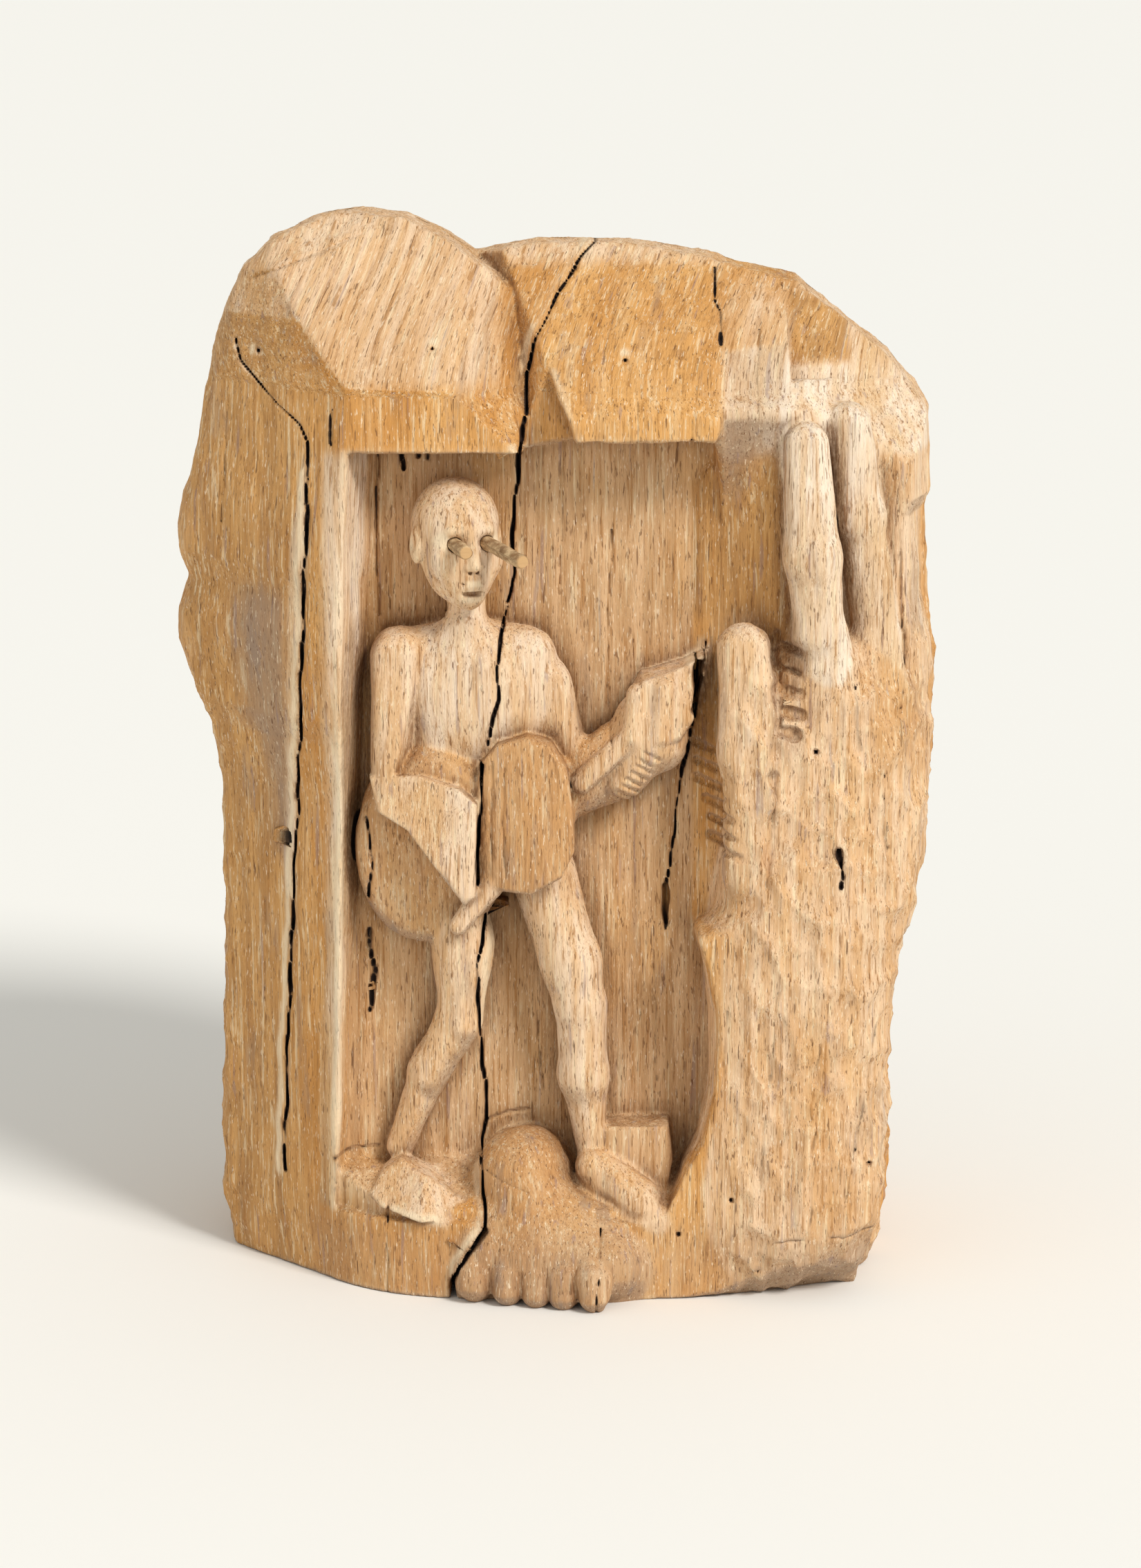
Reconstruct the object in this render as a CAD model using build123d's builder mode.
"""A log carved in relief: a lute player stands in a doorway, held by a giant hand and foot.

Frame: millimetres, X to the right as the front is seen, the front faces -Y, +Z up.
The origin is the middle of the footprint, on the ground.
"""
from build123d import *
import math
import os

# ---- Driving sizes of the log ---------------------------------------------------------
log_width = 364.0          # across the widest swellings
log_depth = 280.0          # front toe to back of the log
log_height = 505.0         # ground to the top of the taller lump
toe_reach = 22.0           # the giant toes stand this far in front of the log
crown_height = 103.0       # from the eave up to the top
niche_depth = 48.0         # from the front of the log back to the doorway's back wall
floor_height = 43.0        # ground to the doorway's floor
headroom = 15.0            # between the carved head and the eave
notch_drop = 21.0          # valley between the two lumps, below the top
side_boss_radius = 13.0    # the swellings on the left side

# ---- Sizes of the giant hand and foot --------------------------------------------------
finger_radius = 12.0
thumb_radius = 14.0
finger_lift = 5.0          # how far a finger's middle line lies under the log's face
toe_radius = 7.5

# ---- Sizes of the carved player --------------------------------------------------------
carved_height = 344.0      # the player's height that the limb sizes below are given for
head_radius = 22.5
head_half_height = 31.5
peg_radius = 3.5           # round wooden pegs that stand out of the eyes
peg_seat = 9.0             # depth of each peg's hole
left_peg_reach = 34.0      # length of the left eye's peg outside the face
right_peg_reach = 20.0
peg_turn = 39.0            # degrees that the pegs turn to the right of straight ahead
peg_fall = 0.06            # the pegs drop this share of their length
eye_side = 8.5             # from the middle of the face to each eye
eye_rise = 4.0             # the eyes sit this far above the middle of the head
lower_bout_relief = 34.0   # how far the lute's two halves stand out of the back wall
upper_bout_relief = 42.0
lute_edge = 3.0            # rounding of the lute's front edges

# ---- Places worked out from those sizes ------------------------------------------------
half_width = log_width / 2
half_depth = log_depth / 2
front_y = toe_reach - half_depth
niche_y = front_y + niche_depth
eave_z = log_height - crown_height
figure_height = eave_z - headroom - floor_height
scale_up = figure_height / carved_height
across = half_width / 182.0        # stretches places across the log with its width
upward = log_height / 505.0        # stretches places up the log with its height
beyond = 2 * max(log_width, log_depth, log_height)   # reaches outside everything

os.makedirs("parts", exist_ok=True)
pieces = {}


def keep(name, piece):
    """Labels one finished piece, writes it and remembers it for its neighbours."""
    piece.part.label = name
    export_step(piece.part, f"parts/{name}.step")
    pieces[name] = piece.part


def cut_back(*names):
    """Cuts the open piece back to the faces of pieces that are already finished."""
    for name in names:
        add(pieces[name], mode=Mode.SUBTRACT)


def on_front(x, behind, z):
    """A place on the giant hand: across the log, behind its front, above the ground."""
    return Vector(x * across, front_y + behind, z * upward)


def on_player(x, relief, z):
    """A place on the player, whose size follows the height of the doorway."""
    return Vector(x * scale_up, niche_y - relief * scale_up, floor_height + (z - 43.0) * scale_up)


# ---- The log before it is divided -------------------------------------------------------
plan_outline = [
    (-0.93, -0.19), (-0.82, -0.43), (-0.54, -0.78), (-0.22, -0.82), (0.16, -0.843), (0.42, -0.82),
    (0.65, -0.77), (0.80, -0.64), (0.91, -0.29), (1.00, 0.07), (0.88, 0.57), (0.59, 0.89),
    (0.20, 1.00), (-0.25, 0.99), (-0.64, 0.81), (-0.89, 0.47), (-1.00, 0.09),
]
left_profile = [(-166, 0), (-163, 238), (-170, 272), (-172, 392), (-160, 449), (-148, 478), (-134, 493)]
crown_profile = [(-112, 502), (-98, 505), (-73, 503), (-53, 495), (-42, 505 - notch_drop), (-28, 488)]
shoulder_profile = [(9, 492), (48, 489), (91, 479), (112, 475), (135, 455), (155, 439), (174, 417)]
right_profile = [(178, 405), (178, 374), (173, 366), (173, 328), (182, 296), (175, 206), (162, 150), (161, 0)]

bevel_split = -28.0 * across       # the two lumps have their own slopes either side of this
left_bevel = [(-40, 495), (-118, 424)]
right_bevel = [(-25, 486), (-95, 449), (-109, 421)]
back_bevel = [(58, 508), (112, 470), (141, 410)]


def slope_cutter(slope, low_x, high_x, side):
    """A block above a slope on the front (side -1) or the back (side +1) of the top."""
    line = [(y / 140.0 * half_depth, log_height - 505.0 + z) for y, z in slope]
    with BuildPart() as cutter:
        with BuildSketch(Plane.YZ.offset(low_x)):
            with BuildLine():
                Polyline(*line, (side * beyond, line[-1][1]), (side * beyond, beyond),
                         (line[0][0], beyond), close=True)
            make_face()
        extrude(amount=high_x - low_x)
    return cutter.part


front_left_slope = slope_cutter(left_bevel, -beyond, bevel_split, -1)
front_right_slope = slope_cutter(right_bevel, bevel_split, beyond, -1)
back_slope = slope_cutter(back_bevel, -beyond, beyond, 1)

with BuildPart() as log:
    with BuildSketch():
        with BuildLine():
            Polyline(*[(x * half_width, y * half_depth) for x, y in plan_outline], close=True)
        make_face()
    extrude(amount=log_height)
    with BuildSketch(Plane.XZ.offset(-beyond / 2)):
        with BuildLine():
            Polyline(*[(x * across, z * upward) for x, z in
                       left_profile + crown_profile + shoulder_profile + right_profile], close=True)
        make_face()
    extrude(amount=beyond, mode=Mode.INTERSECT)
    for slope in (front_left_slope, front_right_slope, back_slope):
        add(slope, mode=Mode.SUBTRACT)

# ---- The log divided behind and around the doorway ---------------------------------------
with BuildPart() as trunk_core:
    add(log.part)
    split(bisect_by=Plane.XZ.offset(-niche_y), keep=Keep.BOTTOM)
keep("trunk_core", trunk_core)

check_foot = (-132 * across, 0.0)
check_sill = (-130.5 * across, floor_height)
check_head = (-115 * across, eave_z)
post_foot = (-102 * across, floor_height)
post_head = (-86 * across, eave_z)
eave_corner = (-96 * across, eave_z + 28)
eave_joint = -17 * across          # the long drying check divides the eave here
doorway_right = [
    (62 * across, floor_height), (76 * across, 122 * upward), (57 * across, 191 * upward),
    (67 * across, 318 * upward), (70 * across, eave_z),
]
shoulder_foot = (74 * across, eave_z + 15)
wide = beyond / 2

front_regions = {
    "left_flank": [(-wide, 0), check_foot, check_sill, check_head, eave_corner,
                   (eave_corner[0], wide), (-wide, wide)],
    "door_post": [check_sill, post_foot, post_head, check_head],
    "base_plinth": [check_foot, (doorway_right[0][0], 0), doorway_right[0], check_sill],
    "eave_left": [check_head, (eave_joint, eave_z), (eave_joint, wide), (eave_corner[0], wide),
                  eave_corner],
    "eave_right": [(eave_joint, eave_z), doorway_right[-1], shoulder_foot,
                   (shoulder_foot[0], wide), (eave_joint, wide)],
    "right_shoulder": [shoulder_foot, (wide, shoulder_foot[1]), (wide, wide), (shoulder_foot[0], wide)],
    "right_flank": [(doorway_right[0][0], 0), (wide, 0), (wide, shoulder_foot[1]), shoulder_foot,
                    *reversed(doorway_right)],
}
for name, region in front_regions.items():
    with BuildPart() as front_piece:
        add(log.part)
        with BuildSketch(Plane.XZ.offset(-niche_y)):
            with BuildLine():
                Polyline(*region, close=True)
            make_face()
        extrude(amount=beyond, mode=Mode.INTERSECT)
    keep(name, front_piece)


def limb(name, start, end, start_radius, end_radius, *neighbours):
    """A round tapering limb between two joints, cut back to what it lies against."""
    along = end - start
    sideways = along.cross(Vector(0, 1, 0.1))
    lengthwise = Plane(origin=start, x_dir=sideways, z_dir=sideways.cross(along))
    with BuildPart() as piece:
        with BuildSketch(lengthwise):
            with BuildLine():
                CenterArc((0, 0), start_radius, -90, 90)
                Line((start_radius, 0), (end_radius, along.length))
                CenterArc((0, along.length), end_radius, 0, 90)
                Line((0, along.length + end_radius), (0, -start_radius))
            make_face()
        revolve(axis=Axis(start, along))
        cut_back(*neighbours)
    keep(name, piece)


# ---- Swellings on the left side ----------------------------------------------------------
boss_x = side_boss_radius - half_width
boss_y = -10.0
side_so_far = ["trunk_core", "left_flank"]
for name, low_z, high_z in (("side_boss_lower", 286, 316), ("side_boss_upper", 342, 372)):
    limb(name, Vector(boss_x, boss_y, low_z * upward), Vector(boss_x, boss_y, high_z * upward),
         side_boss_radius, side_boss_radius - 2, *side_so_far)
    side_so_far.append(name)

# ---- The giant hand on the right ----------------------------------------------------------
# Each digit: name, tip and root as (across, behind the front, up), radius at tip and root.
hand_rows = [
    ("giant_thumb", (86, 10, 308), (93, 14, 204), thumb_radius, thumb_radius - 3),
    ("giant_index_finger", (112, 14, 403), (127, 19, 284), finger_radius, finger_radius + 1),
    ("giant_middle_finger", (135, 33, 408), (154, 37, 272), finger_radius, finger_radius),
    ("giant_ring_finger", (158, 60, 384), (165, 65, 280), finger_radius - 2, finger_radius - 2),
]
hand_so_far = ["trunk_core", "right_flank", "right_shoulder"]
for name, tip, root, tip_radius, root_radius in hand_rows:
    limb(name, on_front(*tip), on_front(*root), tip_radius, root_radius, *hand_so_far)
    hand_so_far.append(name)

# Each level of the palm: height, left side, right side, how far it lies behind the front.
palm_levels = [(70, 88, 140, 12), (150, 84, 152, 4), (262, 92, 158, 12)]
palm_sink = 10.0
palm_corner = 12.0
with BuildPart() as giant_palm:
    for height, left, right, behind in palm_levels:
        relief = niche_depth - behind
        with BuildSketch(Plane.XY.offset(height * upward)):
            with Locations(((left + right) / 2 * across, niche_y - relief / 2)):
                RectangleRounded((right - left) * across, relief + palm_sink, palm_corner)
    loft()
    cut_back(*hand_so_far)
keep("giant_palm", giant_palm)

# ---- The giant foot at the bottom ----------------------------------------------------------
# The forefoot slopes from its instep down to the toes; sides are across the log, in order.
toe_tip_y = toe_radius - half_depth
forefoot_back = niche_y - 20
instep_z = floor_height + 14
sole_sides = (-50, -46, 20, 32, 44)
instep_sides = (-36, -33, -6, 4, 10)
sole_fronts = (forefoot_back, toe_tip_y + 10, toe_tip_y, toe_tip_y + 8, forefoot_back)
instep_fronts = (forefoot_back, front_y + 8, front_y + 4, front_y + 8, forefoot_back)
with BuildPart() as giant_foot:
    for height, sides, fronts in ((0, sole_sides, sole_fronts), (instep_z, instep_sides, instep_fronts)):
        with BuildSketch(Plane.XY.offset(height)):
            with BuildLine():
                Polyline(*zip(sides, fronts), close=True)
            make_face()
    loft()
    cut_back("trunk_core", "base_plinth")
keep("giant_foot", giant_foot)

# Each toe: side, and how far its tip stays behind the front one.
toe_rows = [(-39, 15), (-25, 11), (-11, 7), (2, 3), (16, 0)]
toe_rise = 27.0 - toe_radius
toe_slope = 9.0
foot_so_far = ["base_plinth", "giant_foot"]
for count, (side, back) in enumerate(toe_rows, start=1):
    tip = Vector(side, toe_tip_y + back, toe_radius)
    root = Vector(side * 0.9, tip.Y + toe_slope, toe_radius + toe_rise)
    limb(f"giant_toe_{count}", tip, root, toe_radius, toe_radius - 1, *foot_so_far)
    foot_so_far.append(f"giant_toe_{count}")

# ---- The player ---------------------------------------------------------------------------
# Each level of the torso: height, middle, half width and half depth.
torso_levels = [(196, -60, 28, 18), (262, -43, 33, 22), (300, -40, 40, 19), (316, -42, 20, 13)]
with BuildPart() as torso:
    for height, side, half_x, half_y in torso_levels:
        spot = on_player(side, 17, height)
        with BuildSketch(Plane.XY.offset(spot.Z)):
            with Locations((spot.X, spot.Y)):
                Ellipse(half_x * scale_up, half_y * scale_up)
    loft()
    cut_back("trunk_core")
keep("torso", torso)

limb("neck", on_player(-43, 17, 312), on_player(-45, 18, 332), 11 * scale_up, 10 * scale_up,
     "trunk_core", "torso")

head_middle = on_player(-47, 20, 356)
head_wide = head_radius * scale_up
head_tall = head_half_height * scale_up
peg_angle = math.radians(peg_turn)
peg_way = Vector(math.sin(peg_angle), -math.cos(peg_angle), -peg_fall).normalized()
peg_rows = [("eye_peg_right", -eye_side, right_peg_reach), ("eye_peg_left", eye_side, left_peg_reach)]
pegs = []
for name, side, reach in peg_rows:
    face_share = math.sqrt(1 - (side / head_radius) ** 2 - (eye_rise / head_half_height) ** 2)
    eye = head_middle + Vector(side * scale_up, -head_wide * face_share, eye_rise * scale_up)
    with BuildPart() as peg:
        with Locations(Plane(origin=eye - peg_way * peg_seat, z_dir=peg_way)):
            Cylinder(peg_radius, peg_seat + reach, align=(Align.CENTER, Align.CENTER, Align.MIN))
        fillet(peg.edges().group_by(Axis.Y)[0], peg_radius * 0.3)
        cut_back(*pegs)
    keep(name, peg)
    pegs.append(name)

with BuildPart() as head:
    with BuildSketch(Plane(origin=head_middle, x_dir=(1, 0, 0), z_dir=(0, -1, 0))):
        Ellipse(head_wide, head_tall)
        with Locations((-head_wide, 0)):
            Rectangle(2 * head_wide, 4 * head_tall, mode=Mode.SUBTRACT)
    revolve(axis=Axis(head_middle, (0, 0, 1)))
    cut_back("trunk_core", "torso", "neck", *pegs)
keep("head", head)

# Sizes in the player's rows are for the carved height above: a place is across the log,
# out from the back wall and above the ground, and a limb tapers between two radii.
arms = ["trunk_core", "torso", "neck", "right_flank", "giant_thumb"]


def player_limb(name, start, end, start_radius, end_radius, so_far):
    """One of the player's limbs, which joins the pieces that later ones are cut back to."""
    limb(name, on_player(*start), on_player(*end), start_radius * scale_up, end_radius * scale_up, *so_far)
    so_far.append(name)


player_limb("right_upper_arm", (-72, 18, 296), (-77, 24, 247), 13, 11, arms)
player_limb("left_upper_arm", (-9, 17, 292), (2, 20, 262), 12, 10, arms)

# Each half of the lute's body: name, middle, half width, half height and relief.
lute_rows = [
    ("lute_lower_bout", (-58, 0, 213), 35, 47, lower_bout_relief),
    ("lute_upper_bout", (-15, 0, 234), 23, 36, upper_bout_relief),
]
for name, middle, half_x, half_z, relief in lute_rows:
    with BuildPart() as bout:
        with BuildSketch(Plane(origin=on_player(*middle), x_dir=(1, 0, 0), z_dir=(0, -1, 0))):
            Ellipse(half_x * scale_up, half_z * scale_up)
        extrude(amount=relief * scale_up)
        fillet(bout.faces().sort_by(Axis.Y)[0].edges(), lute_edge)
        cut_back(*arms)
    keep(name, bout)
    arms.append(name)

player_limb("left_forearm", (8, 20, 243), (36, 22, 268), 10, 9, arms)
player_limb("lute_neck", (12, 34, 240), (44, 32, 276), 8, 7, arms)
player_limb("left_hand", (42, 24, 278), (48, 24, 290), 12, 11, arms)

# The lute's head tapers along the neck's line: distance along it, half width, half depth.
with BuildPart() as lute_head:
    for along, half_x, half_y in ((0, 10, 11), (26, 5, 7)):
        level = Plane(origin=on_player(54, 20, 290), x_dir=(0, -1, 0), z_dir=(0.6, 0, 0.8))
        with BuildSketch(level.offset(along * scale_up)):
            Rectangle(2 * half_y * scale_up, 2 * half_x * scale_up)
    loft()
    cut_back(*arms)
keep("lute_head", lute_head)
arms.append("lute_head")

player_limb("right_forearm", (-80, 32, 243), (-46, 46, 241), 10, 8, arms)
player_limb("right_hand", (-47, 45, 230), (-42, 44, 203), 8, 5, arms)
player_limb("lute_end_button", (-35, 38, 196), (-47, 40, 178), 5, 3.5, arms)

legs = ["trunk_core", "base_plinth", "giant_foot", "torso", "lute_lower_bout", "lute_upper_bout",
        "lute_end_button"]
player_limb("right_thigh", (-55, 17, 170), (-48, 26, 130), 14, 12, legs)
player_limb("right_shin", (-49, 24, 122), (-74, 15, 68), 11, 8, legs)
player_limb("right_foot", (-84, 16, 52), (-46, 34, 49), 9, 8, legs)
player_limb("left_thigh", (-8, 20, 196), (8, 26, 142), 15, 12, legs)
player_limb("left_shin", (9, 24, 134), (17, 20, 74), 11, 9, legs)
player_limb("left_foot", (14, 22, 58), (44, 38, 46), 10, 8, legs)

whole = Compound(children=list(pieces.values())).bounding_box()
print(len(pieces), "pieces from", whole.min, "to", whole.max)
